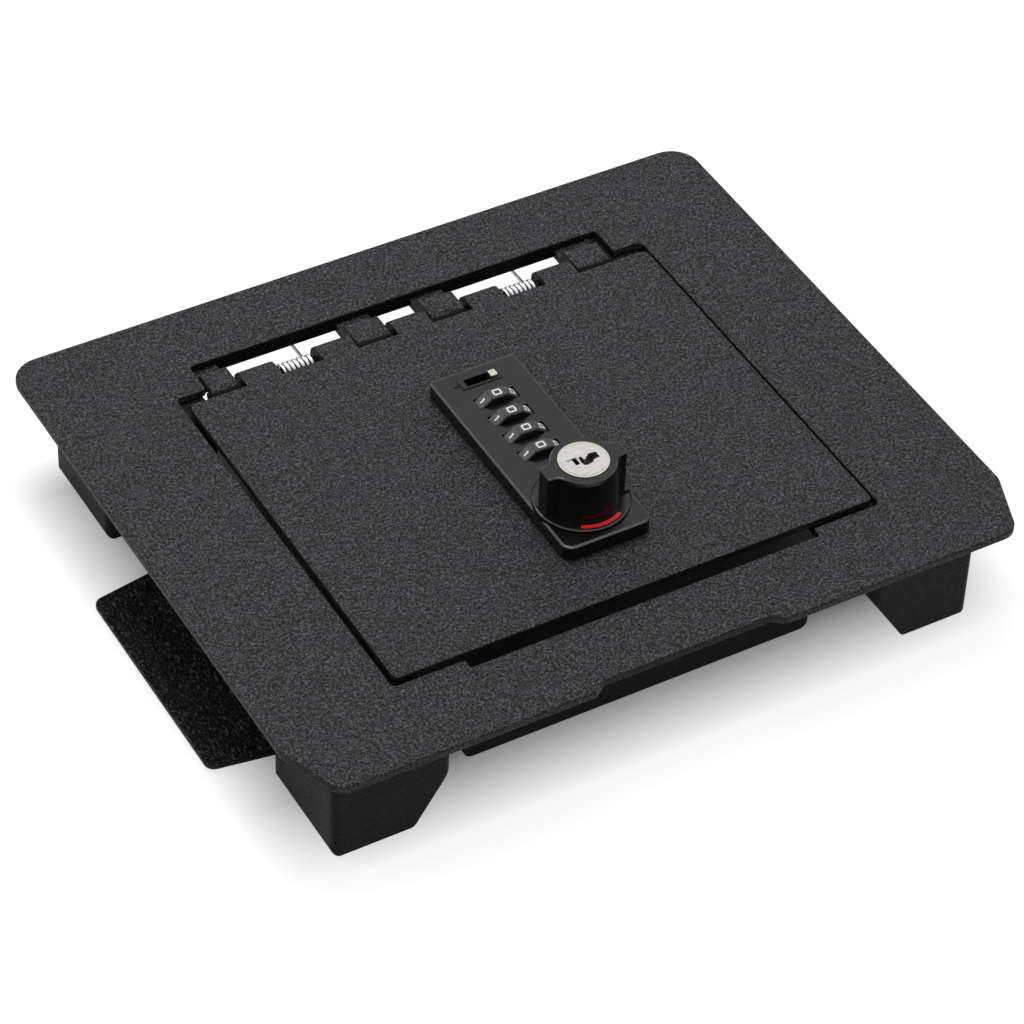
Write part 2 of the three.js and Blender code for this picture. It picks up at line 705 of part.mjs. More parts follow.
// The slot for the code-change peg, and the tick mark on its left.
function sliderOpenings() {
  const slot = box(sliderRestX - sliderTravel - sliderPegWidth / 2 - sliderSlotEnd,
    sliderRestX + sliderPegWidth / 2 + turnGap, sliderY - sliderPegLength / 2 - turnGap,
    sliderY + sliderPegLength / 2 + turnGap, faceBottom - 1, lockTop + 1);
  const tick = box(sliderFrameLeft - seam - tickLength, sliderFrameLeft - seam, sliderY - tickWidth / 2,
    sliderY + tickWidth / 2, lockTop - tickDepth, lockTop + 1);
  return [slot, tick];
}

// The peg stands on a long stem, so that its carriage runs deep in the body, out of sight.
function codeSlider() {
  const [front, rear] = [sliderY - sliderPegLength / 2, sliderY + sliderPegLength / 2];
  const pegTop = lockTop + sliderPegRise;
  const carriageTop = faceBottom - sliderStemLength;
  const peg = alongX(outline([
    [front, carriageTop - 1], [rear, carriageTop - 1], [rear, pegTop, 0.6], [front, pegTop, 0.6]]),
    sliderRestX - sliderPegWidth / 2, sliderRestX + sliderPegWidth / 2, 3);
  const wall = lockX + bodyWidth / 2 - bodyWall - turnGap;
  const right = Math.min(sliderRestX + sliderCarriageWidth / 2, wall);
  const carriage = box(right - sliderCarriageWidth, right, front - sliderCarriageFront,
    bodyRear - bodyWall - turnGap, carriageTop - sliderCarriageThickness, carriageTop);
  piece('code_slider', join(peg, carriage), nickel());
}

// Number dials: ten flat facets, a bore for the spindle and a hub that spaces the next dial.
function dials() {
  const bore = dialSpindleDiameter / 2 + turnGap;
  const wheel = outline(Array.from({ length: dialFacets }, (_, k) => {
    const angle = (2 * Math.PI * (k + 0.5)) / dialFacets + Math.PI / 2;
    return [lockX + dialRadius * Math.cos(angle), dialZ + dialRadius * Math.sin(angle)];
  }));
  dialY.forEach((y, i) => {
    const front = y - dialWidth / 2;
    const rear = y + dialWidth / 2;
    const rim = alongY(wheel, front, rear, 0.4);
    const hubEnd = i === 0 ? rear + dialSideGap : rear + dialPitch - dialWidth - turnGap;
    const hub = rodAlong('y', dialHubRadius, rear - 1, hubEnd, lockX, dialZ, 20);
    const hole = rodAlong('y', bore, front - 1, hubEnd + 1, lockX, dialZ);
    piece(`dial_${i + 1}`, cut(join(rim, hub), hole), lockPlastic());
  });
  const [[wallFront], [, wallRear]] = bearingWalls();
  piece('dial_spindle', rodAlong('y', dialSpindleDiameter / 2, wallFront - 1, wallRear + 1, lockX, dialZ),
    brightSteel());
}

// Comb-shaped leaf spring: one tongue rests under each dial and gives it its clicks.
function detentSpring() {
  const spineLeft = lockX - dialRadius;
  const front = bearingWalls()[0][1] + seam;
  const rear = bearingWalls()[1][0] - seam;
  const comb = box(spineLeft, spineLeft + combSpine, front, rear, combBottom, combBottom + combThickness);
  const tongues = dialY.map((y) => box(spineLeft + combSpine / 2, lockX + combTongueReach, y - combTongueHalf,
    y + combTongueHalf, combBottom, combBottom + combThickness));
  piece('dial_detent_spring', join(comb, ...tongues), brightSteel());
}

// Fence: the bar below the dials' right side that enters their hubs when the code is right.
function lockingFence() {
  const right = lockX + dialRadius - fenceInset;
  const left = right - fenceThickness;
  const top = dialZ - Math.sqrt(dialRadius ** 2 - (left - lockX) ** 2) - 2 * turnGap;
  piece('locking_fence', box(left, right, bearingWalls()[0][1] + seam, bearingWalls()[1][0] - seam,
    combBottom, top), brightSteel());
}

function backCover() {
  const plate = slab(outline(rectangle(lockX - bodyWidth / 2 + seam, lockX + bodyWidth / 2 - seam,
    bodyFront + seam, bodyRear - seam, 1)), coverBottom, coverBottom + coverThickness);
  const holes = coverScrewPlaces().map(([x, y]) => disc(screwRadius + seam, x, y, coverBottom - 1,
    bodyBottom, 12));
  const shaft = disc(spindleRadius + turnGap, lockX, knobY, coverBottom - 1, bodyBottom);
  piece('lock_back_cover', cut(plate, shaft, ...holes), lockPlastic());
}

// The frame that clamps the lock against the underside of the door.
function lockClamp() {
  const top = doorBottom - seam;
  const half = bodyWidth / 2 + clampMargin;
  const frame = slab(outline(rectangle(lockX - half, lockX + half, bodyFront - clampMargin,
    bodyRear + clampMargin, 3)), top - clampThickness, top);
  const hole = slab(outline(rectangle(lockX - bodyWidth / 2 - seam, lockX + bodyWidth / 2 + seam,
    bodyFront - seam, bodyRear + seam, 1)), top - clampThickness - 1, top + 1);
  const drilled = screwPlaces().map(([x, y]) => disc(screwRadius + seam, x, y, top - clampThickness - 1,
    top + 1, 12));
  piece('lock_clamp_frame', cut(frame, hole, ...drilled), brightSteel());
}

function screw(x, y, seat, tip, sides = 12) {
  const head = seat - seam;
  return turned([[0, head - screwHeadHeight], [screwHeadRadius, head - screwHeadHeight],
    [screwHeadRadius, head], [screwRadius, head], [screwRadius, tip], [0, tip]], x, y, sides);
}

function screws() {
  const clampBottom = doorBottom - seam - clampThickness;
  screwPlaces().forEach(([x, y], i) => {
    piece(`lock_screw_${i + 1}`, screw(x, y, clampBottom, doorTop + lockScrewBite), brightSteel());
  });
  coverScrewPlaces().forEach(([x, y], i) => {
    piece(`cover_screw_${i + 1}`, screw(x, y, coverBottom, bodyBottom + coverScrewBite - seam),
      brightSteel());
  });
}

// Outline of the two wings, with a hollow fillet where each meets the round body.
function wingOutline() {
  const reach = knobTopRadius + knobWingFillet;
  const touch = knobTopRadius / reach;
  const rise = knobWingHalf + knobWingFillet;
  const [touchX, touchY] = [Math.sqrt(reach ** 2 - rise ** 2) * touch, rise * touch];
  const cornerX = (knobTopRadius ** 2 - touchY * knobWingHalf) / touchX;
  const fillet = knobWingFillet - 0.1;
  return outline([
    [-knobWingReach, -knobWingHalf, 1], [-cornerX, -knobWingHalf, fillet], [-touchX, -touchY],
    [touchX, -touchY], [cornerX, -knobWingHalf, fillet], [knobWingReach, -knobWingHalf, 1],
    [knobWingReach, knobWingHalf, 1], [cornerX, knobWingHalf, fillet], [touchX, touchY],
    [-touchX, touchY], [-cornerX, knobWingHalf, fillet], [-knobWingReach, knobWingHalf, 1]]);
}

// Knob: a round body with two wings, which stand on pads on a thin skirt. It is bored for the
// key cylinder, and the front of the skirt has a pocket for the red mark.
function knob() {
  const base = lockTop - knobWell + turnGap;
  const skirtTop = lockTop + knobSkirtHeight;
  const padTop = skirtTop + knobPadHeight;
  const round = knobTopRound;
  const skirt = turned([[0, base], [knobSkirtRadius, base], [knobSkirtRadius, skirtTop - 0.5],
    [knobSkirtRadius - 0.4, skirtTop], [0, skirtTop]], lockX, knobY, 48);
  const pads = slab(outline(rectangle(lockX - knobSkirtRadius, lockX + knobSkirtRadius,
    knobY - knobPadHalf, knobY + knobPadHalf)), skirtTop - 0.5, padTop)
    .intersect(disc(knobSkirtRadius - 0.4, lockX, knobY, base, knobTop, 48));
  const body = turned([[0, skirtTop - 0.5], [knobBaseRadius, skirtTop - 0.5],
    [knobTopRadius, knobTop - round * 2], [knobTopRadius - round * 0.3, knobTop - round * 0.6],
    [knobTopRadius - round, knobTop], [0, knobTop]], lockX, knobY, 40);
  const wings = slab(wingOutline(), padTop - 0.5, knobTop, 0.6, 3).translate([lockX, knobY, 0]);
  const well = disc(cylinderRadius + seam, lockX, knobY, knobTop - cylinderDepth - seam, knobTop + 1);
  const socket = disc(spindleRadius + seam, lockX, knobY, base - 1, knobTop - cylinderDepth - knobFloor);
  const pocket = arcBand(indicatorInner - seam, indicatorOuter + seam, indicatorHalfAngle + 1,
    skirtTop - indicatorThickness - seam, skirtTop + 1);
  piece('knob', cut(join(skirt, pads, body, wings), well, socket, pocket), lockPlastic());
}

// A band of a ring in front of the knob's axis, between two heights.
function arcBand(inner, outer, halfAngle, z0, z1) {
  const half = THREE.MathUtils.degToRad(halfAngle);
  const middle = -Math.PI / 2;
  const shape = new THREE.Shape();
  shape.moveTo(lockX + inner * Math.cos(middle - half), knobY + inner * Math.sin(middle - half));
  shape.lineTo(lockX + outer * Math.cos(middle - half), knobY + outer * Math.sin(middle - half));
  shape.absarc(lockX, knobY, outer, middle - half, middle + half, false);
  shape.lineTo(lockX + inner * Math.cos(middle + half), knobY + inner * Math.sin(middle + half));
  shape.absarc(lockX, knobY, inner, middle + half, middle - half, true);
  shape.closePath();
  return slab(shape, z0, z1, 0, 10);
}

function indicator() {
  const top = lockTop + knobSkirtHeight + indicatorProud;
  piece('knob_indicator', arcBand(indicatorInner, indicatorOuter, indicatorHalfAngle,
    top - indicatorThickness, top), redMark());
}

// Key cylinder: a sleeve in the knob, and the core that the key turns, with its keyway.
function keyCylinder() {
  const bottom = knobTop - cylinderDepth;
  const bore = cylinderRadius - cylinderWall;
  const floor = bottom + cylinderFloor;
  const rim = knobTop + sleeveRise;
  const sleeve = turned([[0, bottom], [cylinderRadius, bottom], [cylinderRadius, rim], [bore, rim],
    [bore, floor], [0, floor]], lockX, knobY, 40);
  piece('key_cylinder', sleeve, nickel());
  const top = knobTop + coreRise;
  const core = disc(bore - turnGap, lockX, knobY, floor + turnGap, top, 40);
  const warded = slab(outline([
    [-1.6, -1.1], [-1.2, -2.8], [-0.2, -3.3], [2.3, -2.8], [3.4, -1.7], [5.9, -1.5], [5.9, 1.6],
    [3, 1.9], [0.6, 0], [0.1, -0.2], [-0.2, 1.7], [-1.3, 1.6]]), top - keywayDepth, top + 1);
  const slot = slab(outline(rectangle(-3.7, -2.2, -1.6, 2.1)), top - keywayDepth, top + 1);
  const wafer = slab(outline(rectangle(-6, -3.5, -1.6, 2.1)), top - waferDepth, top + 1);
  const keyway = join(warded, slot, wafer).translate([lockX, knobY, 0]);
  piece('key_core', cut(core, keyway), nickel());
}

// Drive spindle: it joins the knob to the cam, with a square for the cam and a thread for the nut.
function driveSpindle() {
  const top = knobTop - cylinderDepth - knobFloor - seam;
  const squareTop = coverBottom - 0.3;
  const squareBottom = camBottom + 0.2;
  const tip = squareBottom - spindleThreadLength;
  const shaft = disc(spindleRadius, lockX, knobY, squareTop, top, 32);
  const half = spindleSquare / 2;
  const square = box(lockX - half, lockX + half, knobY - half, knobY + half, squareBottom, squareTop + 0.5);
  const thread = turned([[0, tip], [spindleThreadRadius - 0.6, tip], [spindleThreadRadius, tip + 0.6],
    [spindleThreadRadius, squareBottom + 0.5], [0, squareBottom + 0.5]], lockX, knobY, 20);
  piece('drive_spindle', join(shaft, square, thread), brightSteel());
}

// Cam: at rest it points to the right, clear of the strike. A quarter turn brings it forward
// through the strike's slot.
function lockCam() {
  const half = camWidth / 2;
  const plate = slab(outline([
    [lockX - half, knobY - half, half * 0.9], [lockX + camReach, knobY - half, 3],
    [lockX + camReach, knobY + half, 3], [lockX - half, knobY + half, half * 0.9]]), camBottom, camTop, 0.3);
  const square = spindleSquare / 2 + seam;
  const hole = box(lockX - square, lockX + square, knobY - square, knobY + square, camBottom - 1, camTop + 1);
  piece('lock_cam', cut(plate, hole), brightSteel());
  const washerTop = camBottom - seam;
  const washerBottom = washerTop - washerThickness;
  const bore = spindleThreadRadius + seam;
  piece('cam_washer', turned([[bore, washerBottom], [washerRadius, washerBottom],
    [washerRadius, washerTop], [bore, washerTop], [bore, washerBottom]], lockX, knobY, 28), brightSteel());
  const nutTop = washerBottom - seam;
  const nutCorner = nutFlats / 2 / Math.cos(Math.PI / 6);
  const nut = disc(nutCorner, lockX, knobY, nutTop - nutThickness, nutTop, 6);
  piece('cam_nut', cut(nut, disc(bore, lockX, knobY, nutTop - nutThickness - 1, nutTop + 1, 20)),
    brightSteel());
}

topPlate();
hingeLeaf();
springs();
feet();
hookBracket();
strikeFlange();
doorPanel();
lockHousing();
codeSlider();
dials();
detentSpring();
lockingFence();
backCover();
lockClamp();
screws();
knob();
indicator();
keyCylinder();
driveSpindle();
lockCam();

// The hook bracket reaches past the plate on the left, so the outline's middle is shifted.
const shift = bracketReach / 2;
const shown = (value) => value.toFixed(3);
safe.position.set(shift, 0, 0);
console.log(`safe: hinge axis at y ${shown(axisY)}, z ${shown(axisZ)}, x shift ${shown(shift)}`);
console.log(`lock: axis x ${shown(lockX + shift)}, knob y ${shown(knobY)}, dial z ${shown(dialZ)}`);
console.log(`dials: y ${dialY.map(shown).join(', ')}; knob top ${shown(knobTop)}`);

export default safe;
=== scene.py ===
# %% [markdown]
# # A drop-in console safe
# This lesson dresses a finished CAD model: a coated steel plate on four feet, with a hinged
# door that carries a four-dial lock. The CAD model already has every size, so the lesson adds
# what a drawing leaves out: the finishes, the numbers on the dials, a lip round the key, the
# wire of the springs and the light. All lengths are in metres, and +Z is up.

import json
import math

import bpy
from mathutils import Matrix, Vector


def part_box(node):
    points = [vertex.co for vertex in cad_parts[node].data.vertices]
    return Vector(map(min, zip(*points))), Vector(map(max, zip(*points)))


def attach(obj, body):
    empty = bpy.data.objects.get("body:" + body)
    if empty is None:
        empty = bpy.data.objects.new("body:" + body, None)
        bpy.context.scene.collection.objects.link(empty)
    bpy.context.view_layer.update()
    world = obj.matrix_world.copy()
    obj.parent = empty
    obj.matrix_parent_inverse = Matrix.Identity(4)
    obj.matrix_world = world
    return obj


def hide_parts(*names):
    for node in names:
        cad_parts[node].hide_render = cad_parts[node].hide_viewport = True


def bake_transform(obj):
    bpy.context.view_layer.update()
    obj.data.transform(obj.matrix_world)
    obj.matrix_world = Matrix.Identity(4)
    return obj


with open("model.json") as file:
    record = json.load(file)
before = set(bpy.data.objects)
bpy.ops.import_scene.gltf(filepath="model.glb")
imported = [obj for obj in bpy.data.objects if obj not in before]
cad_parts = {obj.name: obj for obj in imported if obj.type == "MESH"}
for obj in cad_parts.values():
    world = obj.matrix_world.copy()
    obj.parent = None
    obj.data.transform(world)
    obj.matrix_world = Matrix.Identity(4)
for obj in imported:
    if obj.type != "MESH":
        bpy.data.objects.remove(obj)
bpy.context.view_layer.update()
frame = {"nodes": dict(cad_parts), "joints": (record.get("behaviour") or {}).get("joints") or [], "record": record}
nodes = frame["nodes"]
joints = {joint["name"]: joint for joint in frame["joints"]}
MM = 0.001

# %% [markdown]
# ## Places on the lock
# The digits and the dark lines between the dials' facets need the dials' axis, and the springs
# need the hinge's. Reading them from the joints keeps them true when the CAD model changes,
# where a typed number would go stale.

# %% Places on the lock
DIAL_COUNT = 4
DIAL_FACETS = 10
FACET_TURN = 2 * math.pi / DIAL_FACETS
dial_axes = [Vector(joints[f"dial_{i + 1}_turn"]["pos_m"]) for i in range(DIAL_COUNT)]
facet_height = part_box("dial_1")[1].z - dial_axes[0].z
hinge = Vector(joints["door_hinge"]["pos_m"])
print("dial axis", [round(v, 4) for v in dial_axes[0]], "facet height", round(facet_height, 5))

# %% [markdown]
# ## A small kit for shader sums
# A material is a graph of nodes. Written node by node, a sum such as 1 - mask takes four
# lines, so a socket is wrapped in a class whose operators add the Math node. Every other
# node comes from one method, which takes its kind, its settings and its inputs.

# %% Shader sums
class Value:
    """A shader socket that can take part in a sum."""

    def __init__(self, graph, socket):
        self.graph = graph
        self.socket = socket

    def sum_with(self, operation, other, swapped=False):
        first, second = (other, self) if swapped else (self, other)
        return self.graph.node("Math", {"operation": operation}, {0: first, 1: second})

    def __add__(self, other):
        return self.sum_with("ADD", other)

    def __radd__(self, other):
        return self.sum_with("ADD", other, True)

    def __sub__(self, other):
        return self.sum_with("SUBTRACT", other)

    def __rsub__(self, other):
        return self.sum_with("SUBTRACT", other, True)

    def __mul__(self, other):
        return self.sum_with("MULTIPLY", other)

    def __rmul__(self, other):
        return self.sum_with("MULTIPLY", other, True)


class Graph:
    """A tree of shader nodes."""

    def __init__(self, tree):
        self.tree = tree

    def node(self, kind, settings=None, inputs=None, out=0):
        """One node of a kind. The settings come first, because some of them change its sockets."""
        node = self.tree.nodes.new("ShaderNode" + kind)
        for key, value in (settings or {}).items():
            setattr(node, key, value)
        for key, value in (inputs or {}).items():
            self.feed(node.inputs[key], value)
        return Value(self, node.outputs[out])

    def feed(self, socket, value):
        """Links a value to a socket, or sets the socket to a plain number or colour."""
        if isinstance(value, Value):
            self.tree.links.new(value.socket, socket)
        else:
            socket.default_value = value

    def parts(self, vector):
        """The three numbers of a vector."""
        first = self.node("SeparateXYZ", inputs={"Vector": vector})
        return [Value(self, socket) for socket in first.socket.node.outputs]

    def larger(self, first, second):
        return self.node("Math", {"operation": "MAXIMUM"}, {0: first, 1: second})


class Finish(Graph):
    """A material being built round its main shader."""

    def __init__(self, name, **constants):
        self.material = bpy.data.materials.new(name)
        self.material.use_nodes = True
        super().__init__(self.material.node_tree)
        self.shader = self.tree.nodes["Principled BSDF"]
        self.set(**constants)

    def set(self, **values):
        """Feeds inputs of the main shader, named with _ for each space."""
        for key, value in values.items():
            self.feed(self.shader.inputs[key.replace("_", " ")], value)
        return self.material


print("shader kit ready")

# %% [markdown]
# ## Patterns that several finishes share
# Grain, creases and small ups and downs of tone could come from pictures laid over unwrapped
# faces. Here they come from noise that is read in the object's own coordinates: it needs no
# unwrapping, it has no seams, and it stays put when a part moves.

# %% Shared patterns
NOISE_ROUGHNESS = 0.55
NOISE_RANGE = (0.3, 0.7)


def place(finish, stretch=(1, 1, 1)):
    """A point of the surface in metres, stretched along each axis."""
    point = finish.node("TexCoord", out="Object")
    return finish.node("VectorMath", {"operation": "MULTIPLY"}, {0: point, 1: stretch})


def noise(finish, point, scale, detail=3.0, distortion=0.0):
    return finish.node("TexNoise", inputs={
        "Vector": point, "Scale": scale, "Detail": detail, "Roughness": NOISE_ROUGHNESS,
        "Distortion": distortion}, out="Fac")


def levels(finish, value, low, high, bottom=0.0, top=1.0):
    """Spreads low..high of a value over bottom..top, and holds it there."""
    return finish.node("MapRange", {"clamp": True}, {
        "Value": value, "From Min": low, "From Max": high, "To Min": bottom, "To Max": top})


def fading(finish, value, low, high):
    """1 up to low, and 0 from high on."""
    return levels(finish, value, low, high, 1.0, 0.0)


def from_noise(finish, value, bottom, top):
    """Spreads the range that a noise mostly keeps to over bottom..top."""
    return levels(finish, value, *NOISE_RANGE, bottom, top)


def as_colour(value):
    """A shader value as it is, or a plain colour with its alpha."""
    return value if isinstance(value, Value) else (*value, 1)


def blend_colours(finish, mask, first, second):
    return finish.node("Mix", {"data_type": "RGBA"}, {
        "Factor": mask, 6: as_colour(first), 7: as_colour(second)}, out=2)


def bump(finish, height, depth, strength=1.0):
    return finish.node("Bump", inputs={"Height": height, "Distance": depth, "Strength": strength})


def facing(finish, axis):
    """How far the surface looks along an axis, from -1 to 1."""
    normal = finish.node("TexCoord", out="Normal")
    return finish.node("SeparateXYZ", inputs={"Vector": normal}, out=axis)


def size_of(finish, value):
    return finish.node("Math", {"operation": "ABSOLUTE"}, {0: value})


print("noise spread from", NOISE_RANGE)

# %% [markdown]
# ## Painted shade on the sheet's cut edges
# The sheet's inner cut edges face away from the light, so the coat's colour is darkened there
# as painted shade. They could be picked by hand and given a material of their own, but the
# picks would be lost when the CAD model changes. So a mask finds them from the surface's
# direction and place: they look sideways, they lie away from the plate's sides and front, and
# they aren't the curls round the hinge pin, which are faces bent over. The sheet's rounded
# rim, at its top face, is added and gets the same painted shade.

# %% Cut edges
SIDEWAYS = (0.35, 0.6)
OUTER_EDGE = 3 * MM
FRONT_EDGE = (2 * MM, 3.5 * MM)
CURL_REACH = (7 * MM, 8 * MM)
BACKWARD = (-0.6, -0.3)
RIM_FROM = (0.3, 0.45)
RIM_TO = (0.85, 0.95)
RIM_DEPTH = (0.5 * MM, 0.7 * MM)


def painted_edge_shade(finish):
    """1 where shade is painted: inner cut edges and the top rim. 0 on faces, curls and outer edges."""
    low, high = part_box("top_plate")
    middle, half = (low.x + high.x) / 2, (high.x - low.x) / 2
    front = [low.y + inset for inset in FRONT_EDGE]
    x, y, z = finish.parts(place(finish))
    upward = facing(finish, "Z")
    cut = fading(finish, size_of(finish, upward), *SIDEWAYS)
    cut = cut * fading(finish, size_of(finish, x - middle), half - OUTER_EDGE, half)
    cut = cut * levels(finish, y, *front)
    by_the_pin = fading(finish, size_of(finish, y - hinge.y), *CURL_REACH)
    cut = cut * (1 - by_the_pin * fading(finish, facing(finish, "Y"), *BACKWARD))
    rim = levels(finish, upward, *RIM_FROM) * fading(finish, upward, *RIM_TO)
    rim = rim * fading(finish, size_of(finish, z - high.z), *RIM_DEPTH)
    return finish.larger(cut, rim)


print("rim of the sheet up to", round(RIM_DEPTH[1] / MM, 2), "mm deep")

# %% [markdown]
# ## Wrinkled coat
# The plate and the door are steel with a wrinkle finish: the paint shrinks as it cures and
# gathers in short crooked ridges a millimetre or two long. Real relief that small would take
# millions of faces, so a bump bends the light instead. Twisted noise gives the ridges, and a
# warped cell pattern gives the creases between them. The tone is partly the coat's own grain
# and partly painted light on this relief: the ridges and specks are painted lighter, as
# highlights, and the creases are painted darker, as shade, because less light reaches into
# them. A lift keeps the creases from going quite black on the sheet, which lies in full light.

# %% Wrinkled coat
RIDGE_SCALE = 640.0
WARP_SCALE, WARP_DETAIL = 420.0, 2.0
WARP = 2.2 * MM
CREASE_WIDTH = 0.14
RIDGES_PER_CELL = 1.8
RIDGE_TWIST = 0.9
SPECKS_PER_CELL = 2.6
SPECK_RANGE = (0.5, 0.72)
LIT_SPAN = 0.2
RIDGE_TONE, SPECK_TONE, CREASE_TONE = 0.85, 0.25, 0.15
EDGE_SHADE = 0.9
RIDGE_HEIGHT, CELL_HEIGHT = 0.7, 0.3
COAT_ROUGHNESS = (0.62, 0.44)


def wrinkled_coat(name, dark, light, ridge_scale=RIDGE_SCALE, depth=0.3 * MM, shine=0.12,
                  lit=0.45, stretch=(1, 1, 1), lift=0.0):
    finish = Finish(name, Specular_IOR_Level=shine)
    point = place(finish, stretch)
    drift = finish.node("TexNoise", inputs={
        "Vector": point, "Scale": WARP_SCALE, "Detail": WARP_DETAIL}, out="Color")
    shift = finish.node("VectorMath", {"operation": "SCALE"}, {0: drift, "Scale": WARP})
    warped = finish.node("VectorMath", {"operation": "ADD"}, {0: point, 1: shift})
    cells = finish.node("TexVoronoi", {"feature": "DISTANCE_TO_EDGE"}, {
        "Vector": warped, "Scale": ridge_scale}, out="Distance")
    crease = fading(finish, cells, 0.0, CREASE_WIDTH)
    ridges = noise(
        finish, point, ridge_scale * RIDGES_PER_CELL, detail=2.0, distortion=RIDGE_TWIST)
    fine_noise = noise(finish, point, ridge_scale * SPECKS_PER_CELL, detail=1.0)
    specks = levels(finish, fine_noise, *SPECK_RANGE)
    # Painted light in the tone: lighter ridges and specks, darker creases.
    tone = levels(finish, ridges, lit, lit + LIT_SPAN) * RIDGE_TONE
    tone = tone + specks * SPECK_TONE - crease * CREASE_TONE
    # Painted shade: the cut edges and the rim are darkened.
    tone = levels(finish, tone, 0.0, 1.0, lift, 1.0) * (1 - painted_edge_shade(finish) * EDGE_SHADE)
    height = ridges * RIDGE_HEIGHT + (1 - crease) * CELL_HEIGHT
    return finish.set(
        Base_Color=blend_colours(finish, tone, dark, light),
        Roughness=from_noise(finish, ridges, *COAT_ROUGHNESS),
        Normal=bump(finish, height, depth))


print("crease cells about", round(1 / (RIDGE_SCALE * MM), 2), "mm wide")

# %% [markdown]
# ## Lock plastic
# The lock housing and the knob are moulded with a satin texture that is much finer than the
# coat. A light bump at a quarter of a millimetre keeps the surface from looking like glass,
# and a slow change of roughness breaks up the reflections. The moulding's rounded edges at the
# front and the left are painted paler, a painted highlight that reads as a thin bright line.
# Only rounded edges look partly up and partly sideways, so the surface's direction finds them.

# %% Lock plastic
SATIN_SHINE = 0.42
SATIN_GRAIN_SCALE = 4200.0
SATIN_PATCH_SCALE = 90.0
SATIN_PATCH_SHARE, SATIN_GRAIN_SHARE = 0.6, 0.4
SATIN_ROUGHNESS = (0.15, 0.26)
SATIN_BUMP = (0.02 * MM, 0.6)
EDGE_FROM = (0.2, 0.4)
EDGE_TO = (0.88, 0.96)
TOWARDS_FRONT_LEFT = (-0.3, 0.2)
HIGHLIGHT_SHARE = 0.9


def painted_edge_highlight(finish):
    """1 where a highlight is painted: rounded-over edges that look to the front or the left."""
    upward = facing(finish, "Z")
    edge = levels(finish, upward, *EDGE_FROM) * fading(finish, upward, *EDGE_TO)
    away = facing(finish, "X") + facing(finish, "Y")
    return edge * fading(finish, away, *TOWARDS_FRONT_LEFT)


def satin_plastic(name, dark, light, highlight_colour):
    finish = Finish(name, Specular_IOR_Level=SATIN_SHINE)
    point = place(finish)
    grain = noise(finish, point, SATIN_GRAIN_SCALE, detail=2.0)
    patches = noise(finish, point, SATIN_PATCH_SCALE)
    mix = patches * SATIN_PATCH_SHARE + grain * SATIN_GRAIN_SHARE
    body = blend_colours(finish, mix, dark, light)
    # Painted highlight: the rounded front and left edges are blended towards a pale colour.
    return finish.set(
        Base_Color=blend_colours(finish, painted_edge_highlight(finish) * HIGHLIGHT_SHARE, body, highlight_colour),
        Roughness=from_noise(finish, patches, *SATIN_ROUGHNESS),
        Normal=bump(finish, grain, *SATIN_BUMP))


print("satin grain about", round(1 / (SATIN_GRAIN_SCALE * MM), 2), "mm wide")

# %% [markdown]
# ## Dial plastic
# The dials are the same plastic. Where two facets meet, a dark line is painted in, the shade
# that a groove there would hold. It could be a groove cut in the mesh, but a line in the finish
# leaves the CAD shape as it is. The line depends on the angle round the dial's axis, which an
# arc tangent of the surface point gives. Counted in facets, that angle runs from one edge to
# the next over a length of 1, so a wave of that length tells how far the point is from the
# nearest edge. The dials' flat sides are darkened too, as painted shade.

# %% Dial plastic
DIAL_SHINE = 0.5
EDGE_LINE = (0.03, 0.06)
FLAT_SIDE = (0.4, 0.7)
DIAL_GRAIN_SCALE = 2600.0
DIAL_TONE, DIAL_GRAIN_SHARE = 0.55, 0.45
DIAL_ROUGHNESS = (0.34, 0.48)
DIAL_BUMP = (0.03 * MM, 0.5)


def dial_plastic(name, axis, dark, light):
    finish = Finish(name, Specular_IOR_Level=DIAL_SHINE)
    point = place(finish)
    x, _, z = finish.parts(point)
    angle = finish.node("Math", {"operation": "ARCTAN2"}, {0: x - axis.x, 1: z - axis.z})
    facets = angle * (1 / FACET_TURN)
    to_edge = finish.node("Math", {"operation": "PINGPONG"}, {0: facets + 0.5, 1: 0.5})
    line = fading(finish, to_edge, *EDGE_LINE)
    side = levels(finish, size_of(finish, facing(finish, "Y")), *FLAT_SIDE)
    grain = noise(finish, point, DIAL_GRAIN_SCALE)
    # Painted shade: darker along the facet edges and on the flat sides.
    shade = levels(finish, DIAL_TONE + grain * DIAL_GRAIN_SHARE - line - side, 0.0, 1.0)
    return finish.set(
        Base_Color=blend_colours(finish, shade, dark, light),
        Roughness=from_noise(finish, grain, *DIAL_ROUGHNESS),
        Normal=bump(finish, grain - line, *DIAL_BUMP))


print("a facet edge every", round(math.degrees(FACET_TURN), 1), "degrees")

# %% [markdown]
# ## Bare metals
# The springs and screws are bright plated steel, and the key cylinder is satin nickel. Both are
# full metals, so what shows is mostly what they reflect. Wire and turned faces keep fine drawn
# marks. A highlight that is stretched along them would need a direction at every point, so long
# thin noise gives the marks instead.

# %% Bare metals
MARK_SCALE = 1500.0
STAIN_SCALE = 120.0
SMOOTHER, ROUGHER = 0.06, 0.08
METAL_BUMP = (0.01 * MM, 0.5)


def plated_metal(name, dark, light, roughness, stretch):
    finish = Finish(name, Metallic=1.0)
    marks = noise(finish, place(finish, stretch), MARK_SCALE)
    stains = noise(finish, place(finish), STAIN_SCALE)
    return finish.set(
        Base_Color=blend_colours(finish, marks * 0.5 + stains * 0.5, dark, light),
        Roughness=from_noise(finish, marks, roughness - SMOOTHER, roughness + ROUGHER),
        Normal=bump(finish, marks, *METAL_BUMP))


print("drawn marks about", round(1 / (MARK_SCALE * MM), 2), "mm apart")

